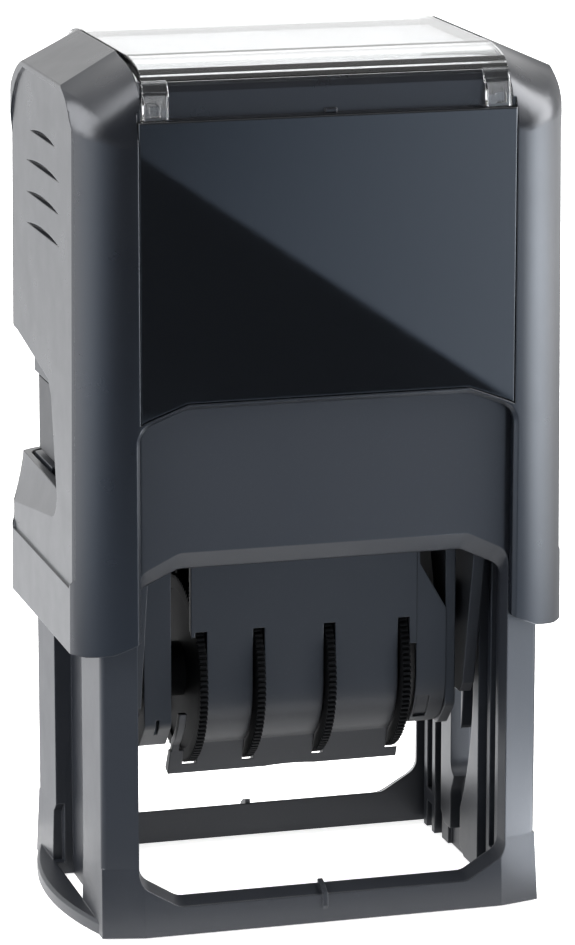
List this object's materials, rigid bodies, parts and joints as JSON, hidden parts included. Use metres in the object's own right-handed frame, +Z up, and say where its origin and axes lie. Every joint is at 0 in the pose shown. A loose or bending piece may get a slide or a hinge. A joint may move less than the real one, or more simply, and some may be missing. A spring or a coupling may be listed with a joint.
{
  "type": "self-inking date stamp",
  "caption": "Desk date stamp with a press-down cap on a spring, a turn-over dater with a text plate and knurled setting wheels, an ink cartridge and a clear index window.",
  "frame": {"origin": "centre of the footprint on the table, under the turning axis of the date unit", "axes": "+Z up along the cap's travel, -Y to the front with the setting wheels, +X to the right"},
  "size_m": [0.058, 0.0388, 0.1],
  "materials": {
    "cap_plastic": "satin",
    "base_plastic": "fine matte",
    "tray_plastic": "matte",
    "unit_plastic": "satin",
    "wheel_plastic": "satin",
    "gloss_black": "gloss",
    "clear_plastic": "clear",
    "card": "paper",
    "felt": "felt",
    "foam": "foam",
    "die_rubber": "matte",
    "band_rubber": "matte",
    "steel": "drawn"
  },
  "bodies": {
    "base": {"base_frame": "base_plastic", "ink_tray": "tray_plastic", "ink_pad_felt": "felt", "return_spring": "steel"},
    "cap": {"cap_housing": "cap_plastic", "front_panel": "gloss_black", "rear_panel": "gloss_black", "index_window": "clear_plastic", "index_card": "card"},
    "date_unit": {"turning_frame": "unit_plastic", "die_cushion": "foam", "text_plate": "die_rubber", "dater_cover_front": "unit_plastic", "dater_cover_rear": "unit_plastic", "cheek_left": "unit_plastic", "cheek_right": "unit_plastic", "wheel_shaft": "steel", "band_bridge": "unit_plastic", "day_tens_band": "band_rubber", "day_units_band": "band_rubber", "month_band": "band_rubber", "year_band": "band_rubber"},
    "day_tens": {"day_tens_wheel": "wheel_plastic"},
    "day_units": {"day_units_wheel": "wheel_plastic"},
    "month": {"month_wheel": "wheel_plastic"},
    "year": {"year_wheel": "wheel_plastic"}
  },
  "joints": [
    {"name": "cap_press", "type": "slide", "parent": "base", "child": "cap", "axis": [0, 0, -1], "range_m": [0, 0.024], "stiffness_N_per_m": 458, "springref_m": -0.0087, "deforming": ["return_spring"]},
    {"name": "unit_turn", "type": "hinge", "parent": "cap", "child": "date_unit", "pos_m": [0, 0, 0.036], "axis": [1, 0, 0], "range_deg": [0, 180]},
    {"name": "day_tens_turn", "type": "hinge", "parent": "date_unit", "child": "day_tens", "pos_m": [-0.01235, 0, 0.02635], "axis": [1, 0, 0], "continuous": true},
    {"name": "day_units_turn", "type": "hinge", "parent": "date_unit", "child": "day_units", "pos_m": [-0.0055, 0, 0.02635], "axis": [1, 0, 0], "continuous": true},
    {"name": "month_turn", "type": "hinge", "parent": "date_unit", "child": "month", "pos_m": [0.00295, 0, 0.02635], "axis": [1, 0, 0], "continuous": true},
    {"name": "year_turn", "type": "hinge", "parent": "date_unit", "child": "year", "pos_m": [0.0119, 0, 0.02635], "axis": [1, 0, 0], "continuous": true}
  ],
  "couplings": [
    {"joint": "unit_turn", "follows": "cap_press", "rad_per_m": 130.9}
  ]
}
